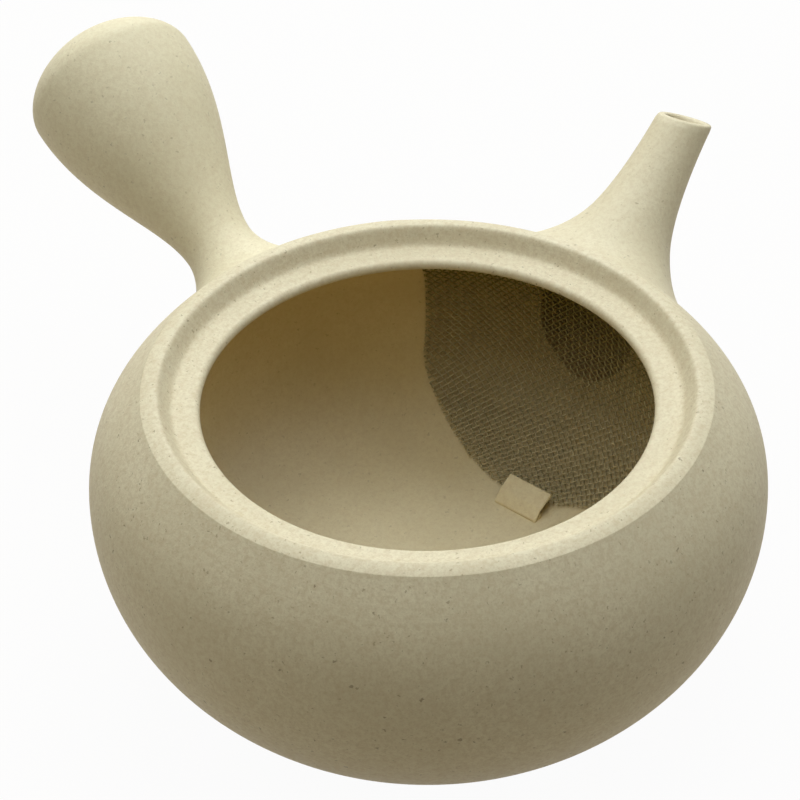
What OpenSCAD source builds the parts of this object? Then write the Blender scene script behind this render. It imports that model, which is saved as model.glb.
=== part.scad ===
// Side-handled teapot with a wire strainer over its spout, in millimetres.
// The origin is the middle of the foot, +Z is up and the spout points along +X.

/* [Body] */
// Widest outside diameter of the body
body_d = 103.6; // [90:0.1:130]
// Height of the lip above the surface that the pot stands on
body_h = 50; // [46:0.1:62]
// Height of the widest part
belly_z = 30.3; // [26:0.1:34]
// How square the shoulder curve is, where 2 is an ellipse
shoulder_n = 2.25; // [2:0.05:2.6]
// Diameter of the flat foot, before its bevel
foot_d = 67.2; // [56:0.1:76]
// Wall thickness at the widest part
wall = 3.4; // [2.5:0.1:5]
// Thickness of the floor
floor_t = 4.2; // [3:0.1:6]
// How square the inside of the bowl is, where 2 is an ellipse
floor_n = 3.5; // [2.6:0.1:5]
// Bevel at the edge of the foot
foot_bevel = 0.8; // [0.4:0.1:1.5]

/* [Mouth] */
// Diameter of the mouth that a lid flange drops into
mouth_d = 68; // [60:0.1:72]
// Width of the ledge that a lid rests on
ledge_w = 4.2; // [3:0.1:5]
// Depth from the ledge to where its sloping underside meets the wall
ledge_t = 4; // [3.4:0.1:5]
// Height that the ledge gains from the mouth to the lip
ledge_rise = 0.4; // [0:0.1:0.6]
// Rounding of the mouth edge, above and below
mouth_round = 0.6; // [0.4:0.1:1]
// Height of the straight wall between those roundings
mouth_wall = 0.4; // [0.3:0.1:1.2]
// Height of the lip above the ledge
lip_rise = 3.5; // [2.5:0.1:4.5]
// How far the inside of the lip leans outward
lip_lean = 1.7; // [0.8:0.1:2.2]
// Width of the rounded top of the lip
lip_w = 2.4; // [1.8:0.1:3]
// Drop from the lip's crest to the shoulder outside it
lip_fall = 1.15; // [0.8:0.05:2]

/* [Spout] */
// Angle of the spout above level
spout_tilt = 33.4; // [25:0.1:38]
// Height of the spout's axis above the widest part, where it leaves it
spout_rise = 4.5; // [2:0.1:6]
// Length of the spout along its axis, outward of the widest part
spout_len = 33.1; // [26:0.1:42]
// Distance from the widest part to the neck, where the root flare ends
spout_neck_s = 12.6; // [9:0.1:15]
// Outside diameter of the neck
spout_neck_d = 14.5; // [14:0.1:18]
// Half height of the flared root, square to the spout's axis
spout_root_r = 15; // [13:0.1:15.5]
// Half width of the flared root
spout_root_w = 23; // [15:0.1:24]
// Outside diameter at the tip
spout_tip_d = 9.2; // [8.8:0.1:11]
// Bore at the tip
spout_bore_d = 6.4; // [5:0.1:6.8]
// Length of the straight bore at the tip
spout_bore_len = 10; // [6:0.5:14]
// Bore where it meets the inside of the bowl
spout_hole_d = 17; // [12:0.1:18]
// Angle by which the way in from the bowl is steeper than the spout
spout_hole_turn = 2.3; // [0:0.1:4]
// Angle of the cut at the tip, falling outward from level
spout_cut = 33; // [15:0.5:40]

/* [Handle] */
// Angle from the spout round to the handle, seen from above
handle_angle = 69; // [60:1:100]
// Angle of the handle above level
handle_tilt = 24; // [10:0.5:30]
// Height of the handle's axis above the widest part, where it leaves it
handle_rise = 5.3; // [2:0.1:7]
// Length of the handle along its axis, outward of the widest part
handle_len = 55.1; // [48:0.1:75]
// Distance from the widest part to the neck, where the root flare ends
handle_neck_s = 9.3; // [7:0.1:12]
// Diameter of the neck
handle_neck_d = 12; // [11:0.1:16]
// Half height of the flared root, square to the handle's axis
handle_root_r = 11.8; // [9:0.1:13]
// Half width of the flared root
handle_root_w = 14.8; // [10:0.1:16]
// Largest diameter, near the end
handle_end_d = 30.4; // [26:0.1:36]
// Length of the rounded end
handle_dome = 9.5; // [7:0.1:14]
// How square the rounded end is, where 2 is an ellipse
handle_dome_n = 1.8; // [1.6:0.1:2.6]
// Wall thickness of the hollow handle
handle_wall = 3.6; // [3:0.1:4.2]
// Vent hole under the handle
vent_d = 3; // [2:0.1:4]

/* [Strainer] */
// Width of the strainer, measured straight across
strainer_w = 53.4; // [48:0.1:57]
// Height of its round lower part, below its straight sides
strainer_bend = 16.4; // [14:0.1:20]
// Thickness of the woven sheet
strainer_t = 0.5; // [0.4:0.05:0.7]
// Distance from the pot's axis to the strainer's lower edge
strainer_edge_r = 27.5; // [26:0.1:29.5]
// Lean of the strainer's middle line below level
strainer_tilt = 15; // [10:0.5:20]
// Distance from the underside of the ledge down to the strainer's straight top edge
strainer_drop = 2.5; // [2.2:0.1:6]
// Clearance between the strainer and the clay round it
strainer_gap = 0.35; // [0.25:0.05:0.45]

/* [Tab] */
// Length of the clay tab along the strainer's edge
tab_l = 8.7; // [7:0.1:12]
// Reach of the tab from its toe over the strainer
tab_reach = 3.2; // [2.8:0.1:3.6]
// Clearance between the toe and the strainer's edge
tab_gap = 0.9; // [0.9:0.1:1.6]
// Width of the toe that holds the tab to the floor
tab_toe = 1.9; // [1.6:0.1:2.4]
// Height of the toe's thin end above the floor
tab_edge = 0.5; // [0.3:0.1:0.8]
// Thickness of the tab where it leaves the toe
tab_root = 0.6; // [0.5:0.1:1]
// Thickness of the tab at its far end, over the strainer
tab_t = 0.8; // [0.7:0.1:1.4]
// Angle at which the tab rises from the floor
tab_rise = 14; // [12:0.5:20]
// Turn of the tab on the floor, set by hand
tab_turn = -6; // [-12:1:12]
// Offset of the tab's middle from the spout's line
tab_side = -0.9; // [-2:0.1:2]

/* [Hidden] */
$fn = 96;
clay = "#cfc7ae";
steel = "#6f6a58";
// Gap left in the luted joints between clay pieces
joint_gap = 0.05;
// Step at the edge of a flared root
root_step = 0.35;
// How square the edge of a flared root is, where 2 is an ellipse
root_n = 2.4;
// Share of a root's width over which it can hug the body
root_share = 0.6;
// How far a flared root hugs the body and how far it hugs the limb, as shares of its reach
root_hug = 0.6;
root_lead = 0.56;
// Slope of the spout's outline at its neck
spout_slope = 0.3;
// Shares of the handle's length over which it leaves the neck and nears its widest part
handle_ease = [0.25, 0.42];
// Drop from the lip's crest to the corner that its inner face leans to
lip_drop = 0.6;
// Share of the lip's width over which it carries on the shoulder's curve
lip_bend = 0.5;
// Shares of the lip's inner face at which its rounded crest ends and bends
lip_share = [0.7, 1.63];
// Shares of that face at which the cove at its foot starts and bends
cove_share = [0.5, 0.1];
// Fall of the ledge beside the cove
cove_fall = 0.1;
// Degrees between points on the rounded mouth edge
mouth_step = 15;
// Extra length of cutting shapes past the faces that they cut
past = 1;
// Points round a spout or handle
sides = 48;
// Steps along a flared root, along a curve of the rim and along an outline
root_steps = 7;
rim_steps = 8;
outline_steps = 14;
belly_r = body_d / 2;
mouth_r = mouth_d / 2;
inner_r = belly_r - wall;
ledge_z = body_h - lip_rise;
under_z = ledge_z - ledge_t;
ledge_r = mouth_r + ledge_w;
lip_in_r = ledge_r + lip_lean;
lip_out_r = lip_in_r + lip_w;
strainer_top = under_z - strainer_drop;
// Heights over which the shoulder curve and the bowl curve would close
shoulder_h = (body_h - lip_fall - belly_z) / round_r(1, 1, shoulder_n, lip_out_r / belly_r);
bowl_h = belly_z / round_r(1, 1, 2, foot_d / body_d);

// Radius of a curve with half width r, height h and squareness n, at a distance d from its widest part
function round_r(r, h, n, d) = r * pow(max(0, 1 - pow(min(1, abs(d) / h), n)), 1 / n);

// Distance from the widest part at which that curve has the radius x
function round_d(r, h, n, x) = h * pow(1 - pow(x / r, n), 1 / n);

// Outside radius of the body at the height z
function outer_r(z) = z > belly_z
    ? round_r(belly_r, shoulder_h, shoulder_n, z - belly_z)
    : round_r(belly_r, bowl_h, 2, belly_z - z);

// Outside and inside heights at a radius x, on the shoulder and on the floor
function shoulder_z(x) = belly_z + round_d(belly_r, shoulder_h, shoulder_n, x);
function floor_z(x, lift) = belly_z - round_d(inner_r - lift, belly_z - floor_t - lift, floor_n, x);

// Points of a smooth curve that leaves a towards b and reaches d from c
function curve(a, b, c, d, steps) = [
    for (i = [0 : steps])
        let (t = i / steps, u = 1 - t)
        u * u * u * a + 3 * u * u * t * b + 3 * u * t * t * c + t * t * t * d
];

// Points down the inside of the bowl, set in from the clay by lift, between two heights
function bowl_points(lift, top, steps) = concat(
    [for (i = [0 : steps])
        let (z = top + (belly_z - top) * i / steps)
        [round_r(inner_r - lift, shoulder_h - wall - lift, shoulder_n, z - belly_z), z]],
    [for (i = [1 : 2 * steps])
        let (x = (inner_r - lift) * cos(90 * i / (2 * steps)))
        [x, floor_z(x, lift)]]);

// Points round a mouth edge whose rounding is centred at the height z, between two angles
function mouth_points(z, from, to) = [
    for (a = [from : mouth_step : to])
        [mouth_r + mouth_round + mouth_round * cos(a), z + mouth_round * sin(a)]
];

// Points round the rim, from the shoulder over the lip and the ledge to the underside
function rim_points() =
    let (lip_out = [lip_out_r, shoulder_z(lip_out_r)],
         bend_r = lip_out_r - lip_w * lip_bend,
         cove = [ledge_r, ledge_z + ledge_rise],
         face = [lip_in_r, body_h - lip_drop] - cove)
    concat(
        curve(lip_out,
            [bend_r, shoulder_z(bend_r)],
            cove + face * lip_share[1],
            cove + face * lip_share[0], rim_steps),
        curve(cove + face * cove_share[0],
            cove + face * cove_share[1],
            cove,
            cove - [lip_lean / 2, cove_fall], rim_steps),
        mouth_points(ledge_z - mouth_round, 90, 180),
        mouth_points(ledge_z - mouth_round - mouth_wall, 180, 270));

// Points up the outside from the foot to the lip, set out from the clay by lift
function outside_points(lift) = concat(
    [for (i = [0 : outline_steps])
        let (z = foot_bevel + (belly_z - foot_bevel) * sin(90 * i / outline_steps))
        [outer_r(z) + lift, z]],
    [for (i = [1 : outline_steps])
        let (z = belly_z + (shoulder_z(lip_out_r) - belly_z) * sin(90 * i / outline_steps))
        [outer_r(z) + lift, z]]);

// A spout or handle is [tilt, height at which its axis crosses the pot's axis]
spout_limb = [spout_tilt, belly_z + spout_rise - belly_r * tan(spout_tilt)];
handle_limb = [handle_tilt, belly_z + handle_rise - belly_r * tan(handle_tilt)];

// Distance along a limb's axis from the pot's axis to the widest part
function limb_start(limb) = belly_r / cos(limb[0]);

// Point at the distance s along a limb, at the radius r and the angle a round its axis
function limb_point(limb, s, r, a) = [
    s * cos(limb[0]) - r * sin(a) * sin(limb[0]),
    r * cos(a),
    limb[1] + s * sin(limb[0]) + r * sin(a) * cos(limb[0])
];

// Distance along a limb at which a line beside its axis comes out of the body
function limb_exit(limb, r, a, low, high, rounds = 26) =
    let (s = (low + high) / 2, p = limb_point(limb, s, r, a))
    rounds == 0 ? s
    : norm([p[0], p[1]]) > outer_r(p[2])
        ? limb_exit(limb, r, a, low, s, rounds - 1)
        : limb_exit(limb, r, a, s, high, rounds - 1);

// Point on the body under a limb, at the radius r round its axis
function root_point(limb, r, a) =
    limb_point(limb, limb_exit(limb, r, a, belly_r / 2, 2 * belly_r), r, a);

// Radius at the angle a of an oval with the half width w, the half height h and the squareness root_n
function oval_r(w, h, a) =
    pow(pow(abs(cos(a)) / w, root_n) + pow(abs(sin(a)) / h, root_n), -1 / root_n);

// Rings from inside the body under a limb out through its flared root to the neck
function root_rings(limb, root_w, root_h, neck_s, neck_r, slope) =
    let (s = limb_start(limb) + neck_s,
         lead = neck_s * root_lead,
         out = limb_point(limb, 1, 0, 0) - limb_point(limb, 0, 0, 0),
         rows = [for (i = [0 : sides - 1])
            let (a = 360 * i / sides,
                 root_r = oval_r(root_w, root_h, a),
                 foot = root_point(limb, root_r, a),
                 edge = foot + root_step * out,
                 hug = root_point(limb, root_r * root_share, a) - foot)
            concat(
                [foot - wall * out],
                curve(edge, edge + hug * root_hug,
                    limb_point(limb, s - lead, neck_r + lead * slope, a),
                    limb_point(limb, s, neck_r, a), root_steps))])
    [for (k = [0 : len(rows[0]) - 1]) [for (row = rows) row[k]]];

// Rings along a limb from outline points [distance past the widest part, radius]
function outline_rings(limb, outline) = [
    for (p = outline)
        [for (i = [0 : sides - 1]) limb_point(limb, limb_start(limb) + p[0], p[1], 360 * i / sides)]
];

// Solid skin over rings of points, closed at both ends
module skin(rings) {
    count = len(rings);
    all_points = [for (ring = rings) for (p = ring) p];
    ends = [
        [for (i = [0 : sides - 1]) i],
        [for (i = [sides - 1 : -1 : 0]) (count - 1) * sides + i]
    ];
    walls = [
        for (k = [0 : count - 2])
            for (i = [0 : sides - 1])
                let (a = k * sides + i, b = k * sides + (i + 1) % sides)
                each [[a, a + sides, b], [b, a + sides, b + sides]]
    ];
    polyhedron(all_points, concat(ends, walls));
}

// Places its children on a limb's axis, at the distance s from the pot's axis, with +Z outward
module on_limb(limb, s) {
    translate(limb_point(limb, s, 0, 0))
        rotate([0, 90 - limb[0], 0])
            children();
}

// The way through the spout, from inside the bowl past the tip
module spout_bore() {
    straight = limb_start(spout_limb) + spout_len - spout_bore_len;
    way = (straight * cos(spout_tilt) - inner_r) / cos(spout_tilt + spout_hole_turn);
    widening = (spout_hole_d - spout_bore_d) / way;
    deep = way + spout_hole_d;
    on_limb(spout_limb, straight) {
        rotate([0, 180 - spout_hole_turn, 0])
            cylinder(h = deep, d1 = spout_bore_d, d2 = spout_bore_d + widening * deep);
        translate([0, 0, -past])
            cylinder(h = 2 * spout_bore_len, d = spout_bore_d);
    }
}

// The room that the body and its lip take up beside a limb
module body_room() {
    outline = outside_points(joint_gap);
    top = body_h + past;
    rotate_extrude()
        polygon(concat([[0, foot_bevel]], outline, [[lip_out_r + joint_gap, top], [0, top]]));
}

// Thrown body with its foot, lip and lid ledge
module pot_body() {
    color(clay)
        difference() {
            rotate_extrude()
                polygon(concat(
                    [[0, 0], [outer_r(foot_bevel) - foot_bevel, 0]],
                    outside_points(0),
                    rim_points(),
                    bowl_points(0, under_z, outline_steps)));
            spout_bore();
        }
}

// Spout with its flared root and slanted tip
module spout() {
    tip_r = spout_tip_d / 2;
    neck = [spout_neck_s, spout_neck_d / 2];
    lead = (spout_len - spout_neck_s) / 3;
    tip = [spout_len + tip_r, tip_r];
    outline = curve(neck, neck + lead * [1, -spout_slope],
        [spout_len - lead / 2, tip_r], tip, outline_steps);
    color(clay)
        difference() {
            skin(concat(
                root_rings(spout_limb, spout_root_w, spout_root_r, spout_neck_s, neck[1], spout_slope),
                outline_rings(spout_limb, [for (i = [1 : outline_steps]) outline[i]])));
            body_room();
            spout_bore();
            translate(limb_point(spout_limb, limb_start(spout_limb) + spout_len, 0, 0))
                rotate([0, spout_cut, 0])
                    translate([-spout_len, -spout_len, 0])
                        cube(2 * spout_len);
        }
}

// Outline of the handle, set in from its surface by inset
function handle_outline(inset) =
    let (neck = [handle_neck_s, handle_neck_d / 2 - inset],
         wide = [handle_len - handle_dome, handle_end_d / 2 - inset],
         ease = (wide[0] - neck[0]) * handle_ease)
    concat(
        curve(neck, neck + [ease[0], 0], wide - [ease[1], 0], wide, outline_steps),
        [for (i = [1 : outline_steps - 1])
            let (a = 90 * i / outline_steps)
            [wide[0] + (handle_dome - inset) * pow(sin(a), 2 / handle_dome_n),
                wide[1] * pow(cos(a), 2 / handle_dome_n)]]);

// Hollow handle with its flared root, rounded end and vent
module handle() {
    start = limb_start(handle_limb);
    outline = handle_outline(0);
    hollow = handle_outline(handle_wall);
    color(clay)
        rotate(handle_angle)
            difference() {
                skin(concat(
                    root_rings(handle_limb, handle_root_w, handle_root_r, handle_neck_s, outline[0][1], 0),
                    outline_rings(handle_limb, [for (i = [1 : len(outline) - 1]) outline[i]])));
                body_room();
                on_limb(handle_limb, start)
                    rotate_extrude()
                        polygon(concat(
                            [[0, hollow[0][0]]],
                            [for (p = hollow) [p[1], p[0]]],
                            [[0, handle_len - handle_wall]]));
                on_limb(handle_limb, start + handle_len - handle_dome)
                    rotate([0, 90, 0])
                        cylinder(h = handle_end_d, d = vent_d);
            }
}

// Woven wire strainer, a dished sheet that follows the wall over the way into the spout
module strainer_mesh() {
    rise = (strainer_bend - (inner_r - strainer_edge_r) * sin(strainer_tilt)) / cos(strainer_tilt);
    edge_z = floor_z(strainer_edge_r, strainer_gap + strainer_t);
    color(steel)
        intersection() {
            rotate_extrude()
                difference() {
                    polygon(concat([[0, strainer_top]],
                        bowl_points(strainer_gap, strainer_top, outline_steps)));
                    polygon(concat([[0, strainer_top + past]],
                        bowl_points(strainer_gap + strainer_t, strainer_top + past, outline_steps)));
                }
            translate([inner_r, 0, edge_z + rise])
                rotate([0, 90 + strainer_tilt, 0]) {
                    scale([2 * strainer_bend / strainer_w, 1, 1])
                        cylinder(h = body_d, d = strainer_w, center = true);
                    translate([-body_h, -strainer_w / 2, -body_d / 2])
                        cube([body_h, strainer_w, body_d]);
                }
            translate([0, -body_d / 2, 0])
                cube([body_d, body_d, body_h]);
        }
}

// Clay tab that holds the strainer's lower edge to the floor
module mesh_tab() {
    toe_r = strainer_edge_r - tab_gap;
    under = strainer_gap + strainer_t + strainer_gap;
    slope = atan((floor_z(toe_r + tab_reach, 0) - floor_z(toe_r, 0)) / tab_reach);
    rise = tab_reach * tan(tab_rise);
    color(clay)
        intersection() {
            translate([toe_r, tab_side, floor_z(toe_r, 0)])
                rotate([0, -slope, tab_turn])
                    rotate([90, 0, 0])
                        linear_extrude(tab_l, center = true)
                            polygon([
                                [-tab_toe, -floor_t / 2],
                                [0, -floor_t / 2],
                                [0, under],
                                [tab_reach, under + rise],
                                [tab_reach - tab_t * sin(tab_rise), under + rise + tab_t],
                                [0, under + tab_root],
                                [-tab_toe, tab_edge]
                            ]);
            rotate_extrude()
                polygon(concat([[0, under_z]], bowl_points(0, under_z, outline_steps)));
        }
}

pot_body();
spout();
handle();
mesh_tab();
strainer_mesh();
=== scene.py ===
import math

import bmesh
import bpy
import numpy as np
from mathutils import Matrix, Vector


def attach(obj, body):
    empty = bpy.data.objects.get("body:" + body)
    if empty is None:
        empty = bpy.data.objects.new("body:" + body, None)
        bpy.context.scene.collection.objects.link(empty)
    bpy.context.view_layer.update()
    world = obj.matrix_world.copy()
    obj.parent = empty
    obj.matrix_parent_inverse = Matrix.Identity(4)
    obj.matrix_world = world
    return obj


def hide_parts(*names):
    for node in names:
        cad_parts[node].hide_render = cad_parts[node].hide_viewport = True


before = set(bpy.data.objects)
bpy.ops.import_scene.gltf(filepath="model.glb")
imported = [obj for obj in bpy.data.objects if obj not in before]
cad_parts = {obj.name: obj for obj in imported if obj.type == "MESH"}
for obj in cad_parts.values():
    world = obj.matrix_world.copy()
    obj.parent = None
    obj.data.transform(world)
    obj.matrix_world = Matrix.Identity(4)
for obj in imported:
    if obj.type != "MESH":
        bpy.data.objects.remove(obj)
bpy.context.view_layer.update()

# Sizes are in millimetres, as in the part's source; make_piece scales them to metres.
MM = 0.001

# Body
BELLY_R, BELLY_Z, BODY_H = 51.8, 30.3, 50.0
FOOT_R, FOOT_BEVEL = 33.6, 0.8
WALL, FLOOR_T, FLOOR_N, SHOULDER_N = 3.4, 4.2, 3.5, 2.25
MOUTH_R, MOUTH_ROUND, MOUTH_UNDER = 34.0, 1.0, 0.6
LEDGE_W, LEDGE_T, LEDGE_RISE = 4.2, 4.0, 0.4
LIP_RISE, LIP_LEAN, LIP_W, LIP_FALL = 3.5, 1.7, 2.4, 1.15
LIP_DROP, LIP_SHARE = 0.6, 0.7
CREASE_OUT, CREASE_STEP, CREST_R, CREST_DROP = 0.4, (-0.05, 0.06), 40.5, 0.42
CROWN_OUT, CROWN_IN, FACE_IN, FACE_SHARE = (-0.6, 0.25), (0.7, 0), (0.4, 0), 0.28
FULL_R, FULL_RISE = 47.5, 0.5
COVE_SHARE, COVE_FALL = (0.5, 0.1), 0.1
GROOVE_W, GROOVE_D, GROOVE_TURN, GROOVE_FADE = 0.3, 0.3, 42.0, 14.0   # line between lip and spout

# Spout, and the hole behind it
SPOUT_TILT, SPOUT_RISE, SPOUT_LEN = 33.4, 4.5, 33.1
SPOUT_NECK_S, SPOUT_NECK_R, SPOUT_SLOPE = 12.6, 7.25, 0.3
SPOUT_ROOT_W, SPOUT_ROOT_H = 23.0, 15.0
SPOUT_TIP_R, SPOUT_CUT = 4.6, 28.5
SPOUT_BORE_R, SPOUT_BORE_LEN, SPOUT_HOLE_R, SPOUT_HOLE_TURN = 3.2, 10.0, 8.5, 2.3
SPOUT_TIP_ROUND = 0.5
HOLE_NEAR, HOLE_FAR, HOLE_RINGS, HOLE_ROUND = 8, 40, 8, 96
HOLE_SKIN, HOLE_LOW = 0.1, 12

# Handle
HANDLE_ANGLE, HANDLE_TILT, HANDLE_RISE, HANDLE_LEN = 69.0, 24.0, 5.3, 55.1
HANDLE_NECK_S, HANDLE_NECK_R = 9.3, 6.0
HANDLE_ROOT_W, HANDLE_ROOT_H = 14.8, 11.8
HANDLE_END_R, HANDLE_DOME, HANDLE_DOME_N = 15.2, 9.5, 1.8
HANDLE_EASE = (0.25, 0.42)
VENT_R, VENT_DEPTH, VENT_ABOVE, VENT_ROUND = 1.5, 6.0, 2.0, 32

# Roots of the spout and the handle
ROOT_N, ROOT_HUG, ROOT_SHARE, ROOT_LEAD = 2.4, 0.6, 0.6, 0.56
ROOT_NEAR, ROOT_GAP, ROOT_ROWS = 0.97, 0.02, 30

# Strainer and tab
STRAINER_R, STRAINER_BEND, STRAINER_T, STRAINER_GAP = 26.7, 16.4, 0.5, 0.35
STRAINER_EDGE_R, STRAINER_TILT, STRAINER_DROP = 27.5, 15.0, 2.5
WIRE_R, WIRE_PITCH, WEAVE_ANGLE = 0.142, (0.95, 0.87), 43.0
WIRE_WAVES, WIRE_SIDES, WIRE_HALF, WIRE_FINE = (0.06, -0.13), 6, 52, 3
TAB_L, TAB_REACH, TAB_GAP, TAB_TOE, TAB_EDGE = 8.7, 3.2, 0.9, 1.9, 0.5
TAB_T, TAB_ROOT, TAB_RISE, TAB_TURN, TAB_SIDE = 0.8, 0.6, 14.0, -6.0, -0.9
TAB_SUNK, TAB_BEVEL = 1.2, 0.32

ROUND = 160        # points round a spout or handle
TURN = 256         # points round the body
HALVINGS = 40      # steps of a search by halves
INNER_R = BELLY_R - WALL
LEDGE_Z = BODY_H - LIP_RISE
UNDER_Z = LEDGE_Z - LEDGE_T
LEDGE_R = MOUTH_R + LEDGE_W
LIP_IN = LEDGE_R + LIP_LEAN
LIP_OUT = LIP_IN + LIP_W
STRAINER_TOP = UNDER_Z - STRAINER_DROP


def arc_r(r, h, n, d):
    """Radius of a curve of half width r, height h and squareness n, at d from its widest part."""
    return r * np.maximum(0, 1 - np.minimum(1, np.abs(d) / h) ** n) ** (1 / n)


def arc_d(r, h, n, x):
    """Distance from the widest part at which that curve has the radius x."""
    return h * np.maximum(0, 1 - (np.asarray(x) / r) ** n) ** (1 / n)


SHOULDER_H = (BODY_H - LIP_FALL - BELLY_Z) / arc_r(1, 1, SHOULDER_N, LIP_OUT / BELLY_R)
BOWL_H = BELLY_Z / arc_r(1, 1, 2, FOOT_R / BELLY_R)


def shoulder_z(x):
    """Height of the shoulder at the radius x: near the lip it is a little fuller than its curve."""
    full = np.maximum(0, (FULL_R - np.asarray(x)) / (FULL_R - LIP_OUT - CREASE_OUT))
    return BELLY_Z + arc_d(BELLY_R, SHOULDER_H, SHOULDER_N, x) + FULL_RISE * full**2


SHOULDER_R = arc_r(BELLY_R, SHOULDER_H, SHOULDER_N, np.linspace(0, BODY_H - BELLY_Z, 600))
SHOULDER_Z = shoulder_z(SHOULDER_R)


def outer_r(z):
    """Outside radius of the body at the height z."""
    down = arc_r(BELLY_R, BOWL_H, 2, BELLY_Z - z)
    return np.where(z > BELLY_Z, np.interp(z, SHOULDER_Z, SHOULDER_R), down)


def bowl_r(z):
    """Inside radius of the body at the height z."""
    up = arc_r(INNER_R, SHOULDER_H - WALL, SHOULDER_N, z - BELLY_Z)
    down = arc_r(INNER_R, BELLY_Z - FLOOR_T, FLOOR_N, BELLY_Z - z)
    return np.where(z > BELLY_Z, up, down)


def floor_z(x, lift=0.0):
    return BELLY_Z - arc_d(INNER_R - lift, BELLY_Z - FLOOR_T - lift, FLOOR_N, x)


def bezier(a, b, c, d, steps):
    """Points of a smooth curve that leaves a towards b and reaches d from c."""
    t = np.linspace(0, 1, steps + 1)[:, None]
    u = 1 - t
    a, b, c, d = (np.asarray(p, float) for p in (a, b, c, d))
    return u**3 * a + 3 * u * u * t * b + 3 * u * t * t * c + t**3 * d


def bowl_points(lift, top, steps):
    """Points down the inside of the bowl, set in from the clay by lift, from the height top to the middle."""
    z = np.linspace(top, BELLY_Z, steps + 1)
    upper = np.stack([arc_r(INNER_R - lift, SHOULDER_H - WALL - lift, SHOULDER_N, z - BELLY_Z), z], 1)
    x = (INNER_R - lift) * np.cos(np.linspace(0, math.pi / 2, 2 * steps + 1)[1:])
    return np.concatenate([upper, np.stack([x, floor_z(x, lift)], 1)])


def make_piece(name, points, faces, material, body, node, sharp=40, lining=None, lined=()):
    """A smooth-shaded mesh from points in millimetres that rides on a body and stands for a CAD node.
    The faces whose numbers are in lined have the material lining."""
    mesh = bpy.data.meshes.new(name)
    mesh.from_pydata((np.asarray(points) * MM).tolist(), [], faces)
    mesh.validate()
    work = bmesh.new()
    work.from_mesh(mesh)
    bmesh.ops.recalc_face_normals(work, faces=work.faces)
    work.to_mesh(mesh)
    work.free()
    piece = bpy.data.objects.new(name, mesh)
    bpy.context.scene.collection.objects.link(piece)
    mesh.materials.append(material)
    if lining:
        mesh.materials.append(lining)
        for face in lined:
            mesh.polygons[face].material_index = 1
    smooth(mesh, sharp)
    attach(piece, body)
    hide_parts(node)
    return piece


def smooth(mesh, sharp):
    mesh.polygons.foreach_set("use_smooth", [True] * len(mesh.polygons))
    mesh.set_sharp_from_angle(angle=math.radians(sharp))


def cut(piece, points, faces, sharp=40):
    """Cuts a closed shape, given in millimetres, out of a piece."""
    mesh = bpy.data.meshes.new("cutter")
    mesh.from_pydata((np.asarray(points) * MM).tolist(), [], faces)
    work = bmesh.new()
    work.from_mesh(mesh)
    bmesh.ops.recalc_face_normals(work, faces=work.faces)
    work.to_mesh(mesh)
    work.free()
    tool = bpy.data.objects.new("cutter", mesh)
    bpy.context.scene.collection.objects.link(tool)
    change = piece.modifiers.new("cut", "BOOLEAN")
    change.operation, change.solver, change.object = "DIFFERENCE", "EXACT", tool
    shown = piece.evaluated_get(bpy.context.evaluated_depsgraph_get())
    result = bpy.data.meshes.new_from_object(shown)
    piece.modifiers.clear()
    piece.data = result
    bpy.data.objects.remove(tool)
    smooth(result, sharp)


def band(rows, count, wrap=False):
    """Quads between rows of count points each, with the last row joined to the first where wrap is true."""
    faces = []
    for k in range(rows if wrap else rows - 1):
        low, high = k * count, (k + 1) % rows * count
        for i in range(count):
            j = (i + 1) % count
            faces.append((low + i, low + j, high + j, high + i))
    return faces


def revolve(profile, count):
    """Points and faces of a profile turned about Z, whose first and last points lie on the axis."""
    angle = np.linspace(0, 2 * math.pi, count, endpoint=False)
    inner = profile[1:-1]
    rings = np.stack([np.outer(inner[:, 0], np.cos(angle)), np.outer(inner[:, 0], np.sin(angle)),
                      np.repeat(inner[:, 1:], count, 1)], 2).reshape(-1, 3)
    points = np.concatenate([rings, [[0, 0, profile[0, 1]], [0, 0, profile[-1, 1]]]])
    last, n = (len(inner) - 1) * count, len(rings)
    faces = band(len(inner), count)
    faces += [((i + 1) % count, i, n) for i in range(count)]
    faces += [(last + i, last + (i + 1) % count, n + 1) for i in range(count)]
    return points, faces


# Materials

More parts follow.
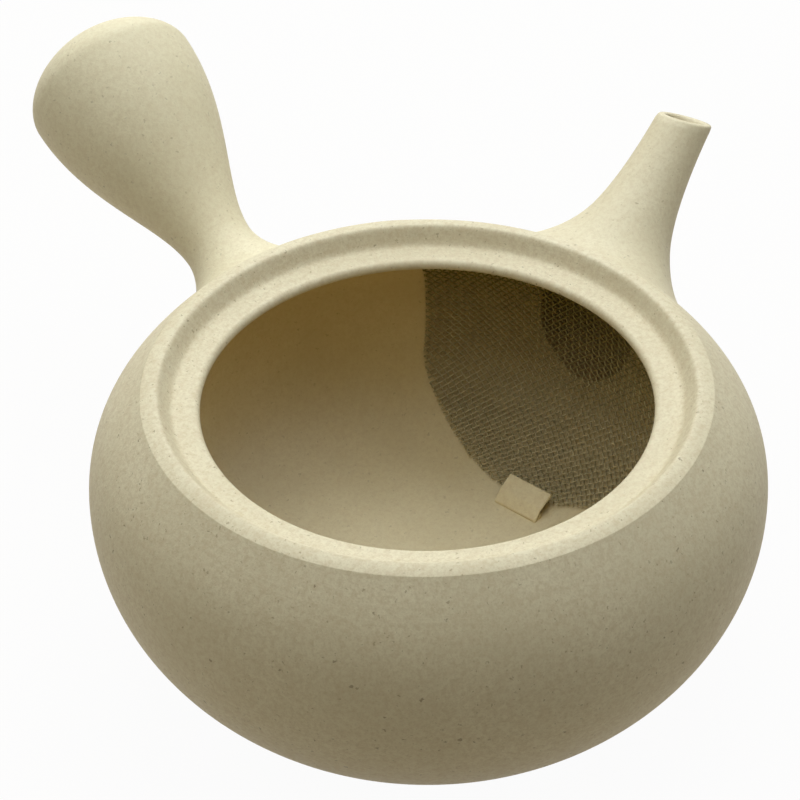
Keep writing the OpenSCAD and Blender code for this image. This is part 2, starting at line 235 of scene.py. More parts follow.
class Nodes:
    """Short ways to add and link shader nodes in one material."""

    def __init__(self, name):
        self.material = bpy.data.materials.new(name)
        self.material.use_nodes = True
        self.tree = self.material.node_tree
        self.tree.nodes.clear()
        self.place = self.add("ShaderNodeTexCoord").outputs["Object"]

    def add(self, kind, **values):
        node = self.tree.nodes.new(kind)
        for key, value in values.items():
            setattr(node, key, value)
        return node

    def put(self, target, value):
        if isinstance(value, bpy.types.NodeSocket):
            self.tree.links.new(value, target)
        else:
            target.default_value = value

    def noise(self, scale, detail=2.0, rough=0.5, at=None):
        node = self.add("ShaderNodeTexNoise")
        self.put(node.inputs["Vector"], at or self.place)
        node.inputs["Scale"].default_value = scale
        node.inputs["Detail"].default_value = detail
        node.inputs["Roughness"].default_value = rough
        return node.outputs["Fac"]

    def math(self, operation, a, b=0.0, c=0.0, clamp=False):
        node = self.add("ShaderNodeMath", operation=operation, use_clamp=clamp)
        for target, value in zip(node.inputs, (a, b, c)):
            self.put(target, value)
        return node.outputs[0]

    def remap(self, value, low, high, to_low=0.0, to_high=1.0):
        node = self.add("ShaderNodeMapRange")
        for target, part in zip(node.inputs, (value, low, high, to_low, to_high)):
            self.put(target, part)
        return node.outputs[0]

    def mix(self, fac, a, b, blend="MIX"):
        node = self.add("ShaderNodeMix", data_type="RGBA", blend_type=blend)
        self.put(node.inputs["Factor"], fac)
        self.put(node.inputs["A"], a)
        self.put(node.inputs["B"], b)
        return node.outputs["Result"]

    def specks(self, scale, share, small, large, at=None):
        """Mask of scattered specks: one in each cell of a random lattice, in a share of the cells."""
        cell = self.add("ShaderNodeTexVoronoi", feature="F1")
        self.put(cell.inputs["Vector"], at or self.place)
        cell.inputs["Scale"].default_value = scale
        parts = self.add("ShaderNodeSeparateColor")
        self.put(parts.inputs[0], cell.outputs["Color"])
        size = self.remap(self.math("POWER", parts.outputs[1], 3.0), 0, 1, small, large)
        inside = self.remap(self.math("SUBTRACT", size, cell.outputs["Distance"]), 0, 0.06)
        kept = self.math("LESS_THAN", parts.outputs[0], share)
        return self.math("MULTIPLY", inside, kept, clamp=True)

    def scatter(self, far, scale):
        """Coordinates shifted at random by up to about far, to make round marks uneven."""
        node = self.add("ShaderNodeTexNoise")
        self.put(node.inputs["Vector"], self.place)
        node.inputs["Scale"].default_value = scale
        shift = self.add("ShaderNodeVectorMath", operation="MULTIPLY_ADD")
        self.put(shift.inputs[0], node.outputs["Color"])
        shift.inputs[1].default_value = (far, far, far)
        self.put(shift.inputs[2], self.place)
        return shift.outputs[0]

    def rings(self):
        """Coordinates that are the same all the way round the pot's axis."""
        parts, whole = self.add("ShaderNodeSeparateXYZ"), self.add("ShaderNodeCombineXYZ")
        self.put(parts.inputs[0], self.place)
        square = self.math("MULTIPLY", parts.outputs[0], parts.outputs[0])
        square = self.math("MULTIPLY_ADD", parts.outputs[1], parts.outputs[1], square)
        self.put(whole.inputs[0], self.math("SQRT", square))
        self.put(whole.inputs[1], parts.outputs[2])
        return whole.outputs[0]

    def up(self):
        """Height above the foot, in metres."""
        parts = self.add("ShaderNodeSeparateXYZ")
        self.put(parts.inputs[0], self.place)
        return parts.outputs[2]

    def bump(self, height, strength, distance):
        node = self.add("ShaderNodeBump")
        node.inputs["Strength"].default_value = strength
        node.inputs["Distance"].default_value = distance
        self.put(node.inputs["Height"], height)
        return node.outputs["Normal"]

    def finish(self, **values):
        shader = self.add("ShaderNodeBsdfPrincipled")
        for key, value in values.items():
            self.put(shader.inputs[key.replace("_", " ")], value)
        output = self.add("ShaderNodeOutputMaterial")
        self.tree.links.new(shader.outputs[0], output.inputs["Surface"])
        return self.material


SPECK_BROWNS = ([0.27, 0.18, 0.09, 1], [0.18, 0.11, 0.05, 1], [0.14, 0.09, 0.05, 1])
# Painted shade: colours multiplied in towards the top of the bowl for the clay and for the strainer wire,
# full at the height given last, in metres.
CLAY_TOP_SHADE, WIRE_TOP_SHADE, SHADE_TOP = [0.87, 0.75, 0.50, 1], [0.58, 0.52, 0.10, 1], 0.036
WIRE_DARK, WIRE_PALE, WIRE_STREAK = [0.29, 0.245, 0.125, 1], [0.36, 0.305, 0.165, 1], [0.16, 0.12, 0.06, 1]


def stoneware(name, base, speck=1.0, turned=False, top_shade=False):
    """Matte unglazed cream clay: cloudy colour, sandy grain, brown specks and, where turned, faint rings.
    Where asked, it goes browner and darker towards the top of the bowl: painted shade under the ledge."""
    n = Nodes(name)

    def shade(r, g, b):
        return [base[0] * r, base[1] * g, base[2] * b, 1]

    cloud, blotch = n.noise(55, 5, 0.6), n.noise(900, 3, 0.65)
    sand, grain = n.noise(1500, 2, 0.6), n.noise(3600, 2, 0.6)
    colour = n.mix(n.remap(cloud, 0.32, 0.68), shade(0.96, 0.95, 0.93), shade(1.06, 1.06, 1.07))
    colour = n.mix(n.remap(blotch, 0.42, 0.70, 0.0, 0.75 * speck), colour, shade(0.90, 0.83, 0.78))
    colour = n.mix(n.remap(sand, 0.46, 0.72, 0.0, 0.7 * speck), colour, shade(0.86, 0.80, 0.74))
    colour = n.mix(n.remap(grain, 0.5, 0.75, 0.0, 0.5 * speck), colour, shade(0.80, 0.76, 0.70))
    loose = n.scatter(0.0011, 1800)
    dust = n.specks(1350, 0.50, 0.10, 0.30, loose)
    fine = n.specks(700, 0.24, 0.10, 0.22, loose)
    coarse = n.specks(330, 0.12, 0.05, 0.13, loose)
    for mask, strength, brown in zip((dust, fine, coarse), (0.48, 0.55, 0.45), SPECK_BROWNS):
        colour = n.mix(n.math("MULTIPLY", mask, strength * speck), colour, brown)
    height = n.math("MULTIPLY_ADD", grain, 0.4, n.math("MULTIPLY", sand, 0.8))
    height = n.math("SUBTRACT", height, n.math("MULTIPLY", fine, 0.4))
    if turned:
        rings = n.noise(1100, 3, 0.7, n.rings())
        height = n.math("MULTIPLY_ADD", rings, 0.4, height)
        colour = n.mix(n.remap(rings, 0.52, 0.75, 0.0, 0.18), colour, shade(0.88, 0.84, 0.80))
    if top_shade:
        # painted shade: browner and darker towards the top of the bowl, under the ledge
        colour = n.mix(n.remap(n.up(), 0.008, SHADE_TOP), colour, CLAY_TOP_SHADE, "MULTIPLY")
    rough = n.remap(sand, 0.3, 0.7, 0.54, 0.68)
    return n.finish(Base_Color=colour, Roughness=rough, Normal=n.bump(height, 0.4, 0.00012),
                    Specular_IOR_Level=0.3)


def wire_steel(name):
    """Fine steel wire, dulled and stained brown by tea, and browner and darker near the top, which is painted
    shade under the ledge.
    """
    n = Nodes(name)
    stain = n.noise(220, 4, 0.6)
    streak = n.noise(700, 2, 0.5)
    colour = n.mix(n.remap(stain, 0.3, 0.7), WIRE_DARK, WIRE_PALE)
    colour = n.mix(n.remap(streak, 0.4, 0.8, 0, 0.15), colour, WIRE_STREAK)
    # painted shade: browner and darker towards the top, under the ledge
    colour = n.mix(n.remap(n.up(), 0.014, SHADE_TOP), colour, WIRE_TOP_SHADE, "MULTIPLY")
    rough = n.remap(streak, 0.3, 0.7, 0.42, 0.58)
    return n.finish(Base_Color=colour, Metallic=0.45, Roughness=rough, Specular_IOR_Level=0.2,
                    Normal=n.bump(streak, 0.2, 0.00003))


CLAY = (0.70, 0.61, 0.40)


def tint(r, g, b):
    return CLAY[0] * r, CLAY[1] * g, CLAY[2] * b


body_clay = stoneware("body_clay", CLAY, 1.0, True)
# Bowl lining: a lighter copy of the clay, painted light, going browner and darker towards the top as painted
# shade under the ledge.
bowl_lit_shaded_clay = stoneware("bowl_lit_shaded_clay", tint(1.05, 1.05, 1.02), 0.5, True, True)
# Painted shade: a much darker copy of the clay for the inside of the spout's bore and the way in from the
# bowl.
bore_shade_clay = stoneware("bore_shade_clay", tint(0.44, 0.35, 0.24), 0.5)
spout_clay = stoneware("spout_clay", CLAY, 0.65)
# Handle and tab: lighter copies of the body clay, painted light.
handle_clay = stoneware("handle_clay", tint(1.07, 1.08, 1.08), 0.65)
tab_clay = stoneware("tab_clay", tint(1.07, 1.07, 1.04), 0.6)
steel = wire_steel("strainer_steel")


# Body: foot, belly, shoulder, lip, ledge, mouth and bowl as one turned profile

def rise(low, high, steps):
    return low + (high - low) * np.sin(np.linspace(0, math.pi / 2, steps + 1))


def body_profile():
    crease = np.array([LIP_OUT + CREASE_OUT, float(shoulder_z(LIP_OUT + CREASE_OUT))])
    lower = rise(FOOT_BEVEL, BELLY_Z, 44)
    upper = rise(BELLY_Z, crease[1], 40)[1:]
    z = np.concatenate([lower, upper])
    outside = np.stack([outer_r(z), z], 1)
    cove = np.array([LEDGE_R, LEDGE_Z + LEDGE_RISE])
    face = np.array([LIP_IN, BODY_H - LIP_DROP]) - cove
    crest, top = np.array([CREST_R, BODY_H - CREST_DROP]), cove + face * LIP_SHARE
    edge = crease + CREASE_STEP
    crown = bezier(edge, edge + CROWN_OUT, crest + CROWN_IN, crest, 24)
    inner = bezier(crest, crest - FACE_IN, top + face * FACE_SHARE, top, 12)[1:]
    hollow = bezier(cove + face * COVE_SHARE[0], cove + face * COVE_SHARE[1], cove,
                    cove - [LIP_LEAN / 2, COVE_FALL], 14)
    arc, mid_z = np.radians(np.linspace(90, 180, 13)), LEDGE_Z - MOUTH_ROUND
    nose = np.stack([MOUTH_R + MOUTH_ROUND * (1 + np.cos(arc)), mid_z + MOUTH_ROUND * np.sin(arc)], 1)
    arc = arc[1:] + math.pi / 2
    under = np.stack([MOUTH_R + MOUTH_UNDER * (1 + np.cos(arc)), mid_z + MOUTH_UNDER * np.sin(arc)], 1)
    bowl = bowl_points(0, UNDER_Z, 28)
    foot = float(outer_r(FOOT_BEVEL)) - FOOT_BEVEL
    bottom = [[0, 0], [foot * 0.5, 0], [foot, 0]]
    shell = np.concatenate([bottom, outside, crown, inner, hollow, nose, under])
    return np.concatenate([shell, bowl]), len(shell)


class Limb:
    """A spout or handle: an axis that leaves the pot's axis at a tilt, turned about Z."""

    def __init__(self, tilt, rise_z, turn=0.0):
        self.tilt = math.radians(tilt)
        self.turn = math.radians(turn)
        self.height = BELLY_Z + rise_z - BELLY_R * math.tan(self.tilt)
        self.start = BELLY_R / math.cos(self.tilt)

    def point(self, s, r, a):
        """Points at distances s along the axis, radii r and angles a round it, before the turn."""
        s, r, a = np.broadcast_arrays(np.asarray(s, float), r, a)
        c, k = math.cos(self.tilt), math.sin(self.tilt)
        aside, above = r * np.cos(a), r * np.sin(a)
        return np.stack([s * c - above * k, aside, self.height + s * k + above * c], -1)

    def exit(self, r, a, lift=0.0):
        """Points where lines beside the axis come out of the body."""
        r, a = np.broadcast_arrays(np.asarray(r, float), a)
        low = np.full(r.shape, BELLY_R / 2)
        high = np.full(r.shape, 2 * BELLY_R)
        for _ in range(HALVINGS):
            s = (low + high) / 2
            p = self.point(s, r, a)
            out = np.hypot(p[..., 0], p[..., 1]) > outer_r(p[..., 2]) + lift
            high, low = np.where(out, s, high), np.where(out, low, s)
        return self.point((low + high) / 2, r, a)

    def turned(self, points):
        c, k = math.cos(self.turn), math.sin(self.turn)
        return np.asarray(points) @ np.array([[c, k, 0], [-k, c, 0], [0, 0, 1]])


ANGLES = np.linspace(0, 2 * math.pi, ROUND, endpoint=False)


def oval_r(w, h):
    return (np.abs(np.cos(ANGLES) / w) ** ROOT_N + np.abs(np.sin(ANGLES) / h) ** ROOT_N) ** (-1 / ROOT_N)


def flare(limb, w, h, neck_s, neck_r, slope):
    """Rings from a root's edge on the body, which they leave along its surface, to the neck."""
    root = oval_r(w, h)
    edge = limb.exit(root, ANGLES)
    near = limb.exit(root * ROOT_NEAR, ANGLES)
    along = (near - edge) / np.linalg.norm(near - edge, axis=1, keepdims=True)
    reach = np.linalg.norm(limb.exit(root * ROOT_SHARE, ANGLES) - edge, axis=1, keepdims=True)
    s, lead = limb.start + neck_s, neck_s * ROOT_LEAD
    leave, reached = edge + along * reach * ROOT_HUG, limb.point(s - lead, neck_r + lead * slope, ANGLES)
    t = np.linspace(0, 1, ROOT_ROWS + 1)[:, None, None]
    u = 1 - t
    neck = limb.point(s, neck_r, ANGLES)
    return root, u**3 * edge + 3 * u * u * t * leave + 3 * u * t * t * reached + t**3 * neck


def make_body():
    profile, bowl_row = body_profile()
    points, faces = revolve(profile, TURN)
    beside = (np.hypot(points[:, 0], points[:, 1]) - LIP_OUT - CREASE_OUT) / GROOVE_W
    turn = np.degrees(np.abs(np.arctan2(points[:, 1], points[:, 0])))
    share = np.clip((GROOVE_TURN - turn) / GROOVE_FADE, 0, 1) * (points[:, 2] > LEDGE_Z)
    points[:, 2] -= GROOVE_D * share * np.exp(-beside**2)
    rows = range((bowl_row - 1) * TURN, len(faces) - 2 * TURN)
    middle = range(len(faces) - TURN, len(faces))
    piece = make_piece("body_shell", points, faces, body_clay, "pot", "pot_body",
                       lining=bowl_lit_shaded_clay, lined=[*rows, *middle])
    angle = np.linspace(0, 2 * math.pi, HOLE_ROUND, endpoint=False)
    rings = np.concatenate([way_in(back, angle) for back in np.linspace(HOLE_NEAR, HOLE_FAR, HOLE_RINGS)])
    caps = [tuple(range(HOLE_ROUND)), tuple(range(len(rings) - HOLE_ROUND, len(rings)))]
    cut(piece, rings, band(HOLE_RINGS, HOLE_ROUND) + caps)
    # Painted shade on the walls of the way in to the spout.
    piece.data.materials.append(bore_shade_clay)
    for face in piece.data.polygons:
        x, y, z = face.center / MM
        near_spout = x > 0 and abs(y) < SPOUT_ROOT_W and HOLE_LOW < z < UNDER_Z
        if near_spout and bowl_r(z) + HOLE_SKIN < math.hypot(x, y) < outer_r(z) - HOLE_SKIN:
            face.material_index = 2
    return piece


def way_in(back, a):
    """Points at the angles a round the way in from the bowl, at the distance back from the straight bore."""
    tilt = SPOUT.tilt + math.radians(SPOUT_HOLE_TURN)
    end = SPOUT.point(SPOUT.start + SPOUT_LEN - SPOUT_BORE_LEN, 0, 0)
    way = (end[0] - INNER_R) / math.cos(tilt)
    r = SPOUT_BORE_R + (SPOUT_HOLE_R - SPOUT_BORE_R) * np.asarray(back) / way
    out = np.array([math.cos(tilt), 0, math.sin(tilt)])
    up = np.array([-math.sin(tilt), 0, math.cos(tilt)])
    back, r, a = (v[..., None] for v in np.broadcast_arrays(back, r, a))
    return end - back * out + r * (np.cos(a) * np.array([0, 1, 0]) + np.sin(a) * up)


def way_edge(a, lift):
    """Distances back along the way in at which it reaches the outside of the body."""
    low, high = np.zeros(len(a)), np.full(len(a), float(HOLE_FAR))
    for _ in range(HALVINGS):
        back = (low + high) / 2
        p = way_in(back, a)
        out = np.hypot(p[:, 0], p[:, 1]) > outer_r(p[:, 2]) + lift
        low, high = np.where(out, back, low), np.where(out, high, back)
    return low


def make_spout():
    limb = SPOUT
    root, rings = flare(limb, SPOUT_ROOT_W, SPOUT_ROOT_H, SPOUT_NECK_S, SPOUT_NECK_R, SPOUT_SLOPE)
    lead = (SPOUT_LEN - SPOUT_NECK_S) / 3
    line = bezier([SPOUT_NECK_S, SPOUT_NECK_R], [SPOUT_NECK_S + lead, SPOUT_NECK_R - lead * SPOUT_SLOPE],
                  [SPOUT_LEN - lead / 2, SPOUT_TIP_R], [SPOUT_LEN + SPOUT_TIP_R, SPOUT_TIP_R], 60)
    slant = 1 / math.tan(math.radians(SPOUT_CUT + SPOUT_TILT))

    def tip_s(r):
        return SPOUT_LEN - r * np.sin(ANGLES) * slant

    rows = list(rings)
    for share in np.linspace(0, 1, 37)[1:-1]:
        s = SPOUT_NECK_S + share * (tip_s(SPOUT_TIP_R) - SPOUT_TIP_ROUND - SPOUT_NECK_S)
        rows.append(limb.point(limb.start + s, np.interp(s, line[:, 0], line[:, 1]), ANGLES))
    for start, end, r in ((0, 90, SPOUT_TIP_R - SPOUT_TIP_ROUND), (90, 180, SPOUT_BORE_R + SPOUT_TIP_ROUND)):
        for a in np.radians(np.linspace(start, end, 8)):
            ring_r = r + SPOUT_TIP_ROUND * math.cos(a)
            s = tip_s(ring_r) - SPOUT_TIP_ROUND * (1 - math.sin(a))
            rows.append(limb.point(limb.start + s, ring_r, ANGLES))
    top, straight = tip_s(SPOUT_BORE_R) - SPOUT_TIP_ROUND, SPOUT_LEN - SPOUT_BORE_LEN
    bore_row = len(rows) + 4
    for share in np.linspace(0, 1, 8)[1:]:
        rows.append(limb.point(limb.start + top + (straight - top) * share, SPOUT_BORE_R, ANGLES))
    back = way_edge(ANGLES, ROOT_GAP)
    rows += [way_in(back * share, ANGLES) for share in np.linspace(0, 1, 16)[1:]]
    # The inside of the bore takes the darker clay, painted shade.
    bore = range(bore_row * ROUND, (len(rows) - 1) * ROUND)
    aside = rows[-1][:, 1]
    above = (rows[-1] - [0, 0, limb.height]) @ [-math.sin(limb.tilt), 0, math.cos(limb.tilt)]
    mouth, turn = np.hypot(aside, above), np.arctan2(above, aside)
    turn = ANGLES + np.angle(np.exp(1j * (turn - ANGLES)))
    for share in np.linspace(0, 1, 8)[1:-1]:
        rows.append(limb.exit(mouth + (root - mouth) * share, turn + (ANGLES - turn) * share, ROOT_GAP))
    return make_piece("spout_skin", np.concatenate(rows), band(len(rows), ROUND, True), spout_clay,
                      "pot", "spout", lining=bore_shade_clay, lined=bore)


def make_handle():
    limb = HANDLE
    root, rings = flare(limb, HANDLE_ROOT_W, HANDLE_ROOT_H, HANDLE_NECK_S, HANDLE_NECK_R, 0.0)
    neck = np.array([HANDLE_NECK_S, HANDLE_NECK_R])
    wide = np.array([HANDLE_LEN - HANDLE_DOME, HANDLE_END_R])
    run = wide[0] - neck[0]
    line = bezier(neck, neck + [run * HANDLE_EASE[0], 0], wide - [run * HANDLE_EASE[1], 0], wide, 60)[1:]
    a = np.radians(np.linspace(0, 90, 41)[1:-1])
    dome = np.stack([wide[0] + HANDLE_DOME * np.sin(a) ** (2 / HANDLE_DOME_N),
                     wide[1] * np.cos(a) ** (2 / HANDLE_DOME_N)], 1)
    under = [limb.exit(root * share, ANGLES, ROOT_GAP) for share in np.linspace(0.1, 1, 8)[:-1]]
    outline = [limb.point(limb.start + s, r, ANGLES) for s, r in np.concatenate([line, dome])]
    rows = under + list(rings) + outline
    ends = [limb.exit([0.0], [0.0], ROOT_GAP), limb.point([limb.start + HANDLE_LEN], 0.0, 0.0)]
    points = limb.turned(np.concatenate(rows + ends))
    last, n = (len(rows) - 1) * ROUND, len(rows) * ROUND
    faces = band(len(rows), ROUND)
    faces += [((i + 1) % ROUND, i, n) for i in range(ROUND)]
    faces += [(last + i, last + (i + 1) % ROUND, n + 1) for i in range(ROUND)]
    piece = make_piece("handle_skin", points, faces, handle_clay, "pot", "handle")
    angle = np.linspace(0, 2 * math.pi, VENT_ROUND, endpoint=False)
    s = limb.start + wide[0]
    rings = []
    for depth in (-VENT_ABOVE, VENT_DEPTH):
        r = HANDLE_END_R - depth
        ring = limb.point(s + VENT_R * np.cos(angle), np.hypot(r, VENT_R * np.sin(angle)),
                          -math.pi / 2 + np.arctan2(VENT_R * np.sin(angle), r))
        rings.append(limb.turned(ring))
    caps = [tuple(range(VENT_ROUND)), tuple(range(VENT_ROUND, 2 * VENT_ROUND))]
    cut(piece, np.concatenate(rings), band(2, VENT_ROUND) + caps)
    return piece


# Strainer: a plain weave of wires over the dished wall, cut to its outline

def make_strainer():
    mid = STRAINER_GAP + STRAINER_T / 2
    line = bowl_points(mid, STRAINER_TOP + 2, 200)
    line = line[line[:, 0] > STRAINER_EDGE_R - 4]
    length = np.concatenate([[0], np.cumsum(np.hypot(*np.diff(line, axis=0).T))])
    slope = np.gradient(line, length, axis=0)
    normal = np.stack([slope[:, 1], -slope[:, 0]], 1)
    tilt = math.radians(STRAINER_TILT)
    edge_z = float(floor_z(STRAINER_EDGE_R, STRAINER_GAP + STRAINER_T))
    middle_z = edge_z + (STRAINER_BEND - (INNER_R - STRAINER_EDGE_R) * math.sin(tilt)) / math.cos(tilt)
    middle_t = float(np.interp(-middle_z, -line[:, 1], length))

    def surface(y, t, h):
        """Points at y across the spout and t down the wall, raised from the sheet's middle by h."""
        r = np.interp(t, length, line[:, 0])
        z = np.interp(t, length, line[:, 1])
        out_r, out_z = np.interp(t, length, normal[:, 0]), np.interp(t, length, normal[:, 1])
        turn = np.arcsin(np.clip(y / r, -0.95, 0.95))
        return np.stack([(r + h * out_r) * np.cos(turn), (r + h * out_r) * np.sin(turn), z + h * out_z], 1)

    def inside(p):
        up = (p[:, 0] - INNER_R) * math.sin(tilt) + (p[:, 2] - middle_z) * math.cos(tilt)
        low = np.minimum(up, 0) / STRAINER_BEND
        return ((p[:, 1] / STRAINER_R) ** 2 + low**2 < 1) & (p[:, 2] < STRAINER_TOP)

    lean = math.radians(WEAVE_ANGLE)
    along = (np.array([-math.cos(lean), -math.sin(lean)]), np.array([-math.sin(lean), math.cos(lean)]))
    sides, half, fine = WIRE_SIDES, WIRE_HALF, WIRE_FINE
    rim = np.linspace(0, 2 * math.pi, sides, endpoint=False)
    points, faces, base = [], [], 0
    grid = np.arange(-half * fine, half * fine + 1) / fine
    for family in (0, 1):
        go, across = along[family], along[1 - family]
        for wire in range(-half, half + 1):

            def place(step):
                flat = np.outer(np.atleast_1d(step) * WIRE_PITCH[1 - family], go)
                flat += wire * WIRE_PITCH[family] * across
                return flat[:, 0], middle_t + flat[:, 1]

            def kept(step):
                y, t = place(step)
                return (t > 0) & (t < length[-1]) & inside(surface(y, np.clip(t, 0, length[-1]), 0))

            keep = np.flatnonzero(kept(grid))
            if len(keep) < fine:
                continue
            ends = []
            for k, way in ((keep[0], -1), (keep[-1], 1)):
                held, past = grid[k], grid[k] + way / fine
                for _ in range(10):
                    trial = (held + past) / 2
                    held, past = (trial, past) if kept(trial)[0] else (held, trial)
                ends.append(held)
            steps = np.concatenate([ends[:1], grid[keep[0] + 1:keep[-1]], ends[1:]])
            y, t = place(steps)
            wave = WIRE_WAVES[family] * np.cos(math.pi * (steps + wire))
            path = surface(y, t, wave)
            ahead = np.gradient(path, axis=0)
            ahead /= np.linalg.norm(ahead, axis=1, keepdims=True)
            up = surface(y, t, wave + 1) - path
            side = np.cross(ahead, up)
            side /= np.linalg.norm(side, axis=1, keepdims=True)
            up = np.cross(side, ahead)
            tube = path[:, None] + WIRE_R * (np.cos(rim)[None, :, None] * side[:, None]
                                             + np.sin(rim)[None, :, None] * up[:, None])
            count = len(path)
            points.append(tube.reshape(-1, 3))
            faces += [tuple(base + i for i in f) for f in band(count, sides)]
            faces += [tuple(base + i for i in range(sides)),
                      tuple(base + (count - 1) * sides + i for i in range(sides))]
            base += count * sides
    return make_piece("strainer_weave", np.concatenate(points), faces, steel, "strainer",
                      "strainer_mesh", 60)


# Tab: a pinched slip of clay over the strainer's lower edge

def make_tab():
    toe_r = STRAINER_EDGE_R - TAB_GAP
    under = 2 * STRAINER_GAP + STRAINER_T
    slope = math.atan((floor_z(toe_r + TAB_REACH) - floor_z(toe_r)) / TAB_REACH)
    lift = TAB_REACH * math.tan(math.radians(TAB_RISE))
    lean = math.sin(math.radians(TAB_RISE))
    section = [(-TAB_TOE, -TAB_SUNK), (0, -TAB_SUNK), (0, under), (TAB_REACH, under + lift),
               (TAB_REACH - TAB_T * lean, under + lift + TAB_T), (0, under + TAB_ROOT), (-TAB_TOE, TAB_EDGE)]
    work = bmesh.new()
    ends = [[work.verts.new((x, y, z)) for x, z in section] for y in (-TAB_L / 2, TAB_L / 2)]
    count = len(section)
    work.faces.new(ends[0])
    work.faces.new(ends[1][::-1])
    for i in range(count):
        j = (i + 1) % count
        work.faces.new((ends[0][i], ends[1][i], ends[1][j], ends[0][j]))
    bmesh.ops.recalc_face_normals(work, faces=work.faces)
    bmesh.ops.bevel(work, geom=list(work.edges), offset=TAB_BEVEL, segments=4, profile=0.6, affect="EDGES")
    spin = Matrix.Rotation(math.radians(TAB_TURN), 3, "Z") @ Matrix.Rotation(-slope, 3, "Y")
    seat = Vector((toe_r, TAB_SIDE, float(floor_z(toe_r))))
    work.verts.index_update()
    points = [spin @ v.co + seat for v in work.verts]
    faces = [tuple(v.index for v in f.verts) for f in work.faces]
    work.free()
    return make_piece("tab_slip", points, faces, tab_clay, "pot", "mesh_tab", 60)


SPOUT = Limb(SPOUT_TILT, SPOUT_RISE)
HANDLE = Limb(HANDLE_TILT, HANDLE_RISE, HANDLE_ANGLE)
make_body()
make_spout()
make_handle()
make_strainer()
make_tab()


# Camera, at the photograph's place: it looks at the mouth from the side away from the spout
VIEW_TURN, VIEW_RAISE = math.radians(34), 0.674431
VIEW_YAW, VIEW_PITCH, VIEW_ROLL = -0.0115030, -0.0022468, 0.0120722
VIEW_FAR, VIEW_LENS, VIEW_SENSOR = 350.0, 105.287, 36.0


def make_camera():
    level = Vector((math.cos(VIEW_TURN), math.sin(VIEW_TURN), 0))
    ahead = level * math.cos(VIEW_RAISE) - Vector((0, 0, math.sin(VIEW_RAISE)))
    right = Vector((math.sin(VIEW_TURN), -math.cos(VIEW_TURN), 0))
    axes = np.array([right, right.cross(ahead), ahead])
    c, s = math.cos(VIEW_YAW), math.sin(VIEW_YAW)
    yaw = np.array([[c, 0, -s], [0, 1, 0], [s, 0, c]])
    c, s = math.cos(VIEW_PITCH), math.sin(VIEW_PITCH)
    pitch = np.array([[1, 0, 0], [0, c, -s], [0, s, c]])
    c, s = math.cos(VIEW_ROLL), math.sin(VIEW_ROLL)
    roll = np.array([[c, -s, 0], [s, c, 0], [0, 0, 1]])
    axes = roll @ pitch @ yaw @ axes
    data = bpy.data.cameras.new("camera")
    data.lens, data.sensor_width = VIEW_LENS, VIEW_SENSOR
    data.clip_start, data.clip_end = 0.01, 20
    camera = bpy.data.objects.new("camera", data)
    bpy.context.scene.collection.objects.link(camera)
    place = (Vector((0, 0, LEDGE_Z)) - VIEW_FAR * ahead) * MM
    matrix = Matrix.Identity(4)
    for k in range(3):
        matrix[k][0], matrix[k][1], matrix[k][2], matrix[k][3] = axes[0][k], axes[1][k], -axes[2][k], place[k]
    camera.matrix_world = matrix
    bpy.context.scene.camera = camera


# Light: soft white panels, each with its turn from straight behind the pot as the camera sees it, its height
# in degrees, its distance, width, power and colour
COOL, WARM = (0.92, 1.01, 1.12), (1.05, 1.03, 0.90)
PANELS = {
    "top": (0, 90, 0.7, 0.5, 0.30, COOL),
    "back_high": (0, 65, 0.7, 0.5, 1.40, COOL),
    "back_low": (0, 40, 0.7, 0.5, 2.05, COOL),
    "back_right": (45, 65, 0.7, 0.5, 0.50, COOL),
    "right": (90, 65, 0.7, 0.5, 0.86, COOL),
    "right_low": (90, 40, 0.7, 0.5, 0.32, COOL),
    "front_left": (225, 65, 0.7, 0.5, 0.83, WARM),
    "left": (270, 40, 0.7, 0.5, 0.47, COOL),
    "near_left": (300, 50, 0.33, 0.25, 0.10, COOL),
}
LIGHT_AIM = 0.03


def make_light():
    for name, (turn, rise_deg, far, size, power, colour) in PANELS.items():
        data = bpy.data.lights.new(name, "AREA")
        data.shape, data.size, data.energy, data.color = "DISK", size, power, colour
        lamp = bpy.data.objects.new(name, data)
        bpy.context.scene.collection.objects.link(lamp)
        angle, up = VIEW_TURN - math.radians(turn), math.radians(rise_deg)
        level = math.cos(up)
        lamp.location = far * Vector((level * math.cos(angle), level * math.sin(angle), math.sin(up)))
        aim = Vector((0, 0, LIGHT_AIM)) - lamp.location
        lamp.rotation_mode = "QUATERNION"
        lamp.rotation_quaternion = aim.to_track_quat("-Z", "Y")


def seen_directly(tree):
    """1 for rays from the camera, straight or by way of metal or glass, and 0 for light on the object."""
    path = tree.nodes.new("ShaderNodeLightPath")
    first = tree.nodes.new("ShaderNodeMath")
    second = tree.nodes.new("ShaderNodeMath")
    first.operation = second.operation = "MAXIMUM"
    tree.links.new(path.outputs["Is Camera Ray"], first.inputs[0])
    tree.links.new(path.outputs["Is Glossy Ray"], first.inputs[1])
    tree.links.new(first.outputs[0], second.inputs[0])
    tree.links.new(path.outputs["Is Transmission Ray"], second.inputs[1])
    return second.outputs[0]


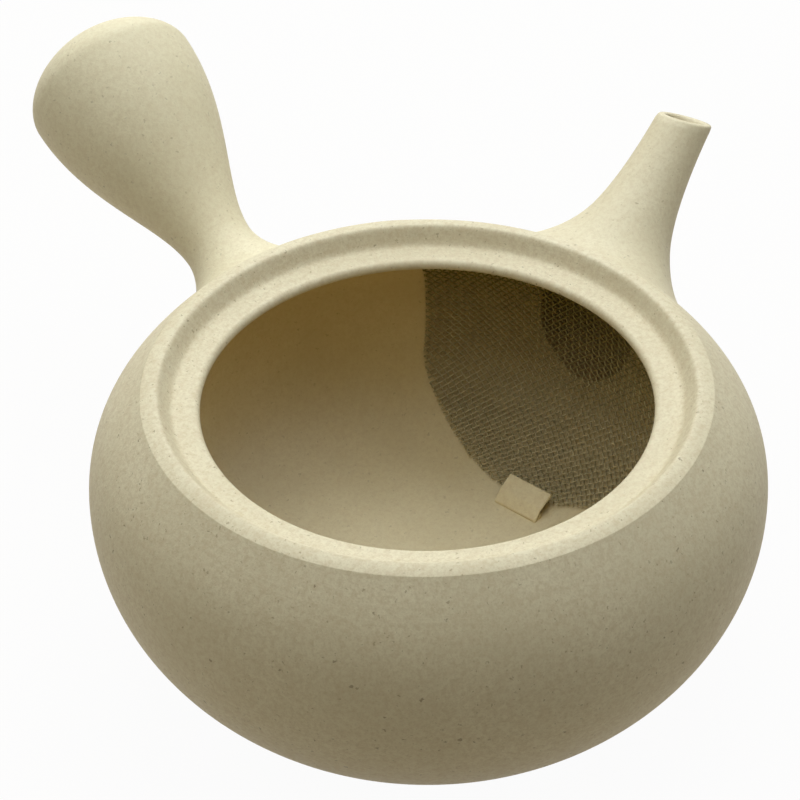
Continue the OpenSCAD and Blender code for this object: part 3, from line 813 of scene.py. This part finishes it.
def make_world():
    world = bpy.data.worlds.new("studio")
    bpy.context.scene.world = world
    world.use_nodes = True
    tree = world.node_tree
    tree.nodes.clear()
    sky, white = tree.nodes.new("ShaderNodeBackground"), tree.nodes.new("ShaderNodeBackground")
    sky.inputs["Color"].default_value, sky.inputs["Strength"].default_value = (1, 1, 1, 1), 0.0
    white.inputs["Color"].default_value, white.inputs["Strength"].default_value = (1, 1, 1, 1), 1.0
    mix, output = tree.nodes.new("ShaderNodeMixShader"), tree.nodes.new("ShaderNodeOutputWorld")
    tree.links.new(seen_directly(tree), mix.inputs[0])
    tree.links.new(sky.outputs[0], mix.inputs[1])
    tree.links.new(white.outputs[0], mix.inputs[2])
    tree.links.new(mix.outputs[0], output.inputs["Surface"])


FLOOR_EDGE, FLOOR_COLOUR, FLOOR_WHITE = 1.5, (0.62, 0.55, 0.44, 1), 0.96


def make_floor():
    """Pale card that shows white to the camera but for a small share, which keeps the shadow."""
    mesh = bpy.data.meshes.new("floor")
    edge = FLOOR_EDGE
    corners = [(-edge, -edge, 0), (edge, -edge, 0), (edge, edge, 0), (-edge, edge, 0)]
    mesh.from_pydata(corners, [], [(0, 1, 2, 3)])
    floor = bpy.data.objects.new("floor", mesh)
    bpy.context.scene.collection.objects.link(floor)
    material = bpy.data.materials.new("floor")
    material.use_nodes = True
    tree = material.node_tree
    tree.nodes.clear()
    card, white = tree.nodes.new("ShaderNodeBsdfDiffuse"), tree.nodes.new("ShaderNodeEmission")
    card.inputs["Color"].default_value = FLOOR_COLOUR
    white.inputs["Color"].default_value, white.inputs["Strength"].default_value = (1, 1, 1, 1), 1.0
    share = tree.nodes.new("ShaderNodeMath")
    share.operation = "MULTIPLY"
    tree.links.new(seen_directly(tree), share.inputs[0])
    share.inputs[1].default_value = FLOOR_WHITE
    mix, output = tree.nodes.new("ShaderNodeMixShader"), tree.nodes.new("ShaderNodeOutputMaterial")
    tree.links.new(share.outputs[0], mix.inputs[0])
    tree.links.new(card.outputs[0], mix.inputs[1])
    tree.links.new(white.outputs[0], mix.inputs[2])
    tree.links.new(mix.outputs[0], output.inputs["Surface"])
    mesh.materials.append(material)


make_camera()
make_light()
make_world()
make_floor()
bpy.context.scene.view_settings.view_transform = "Standard"
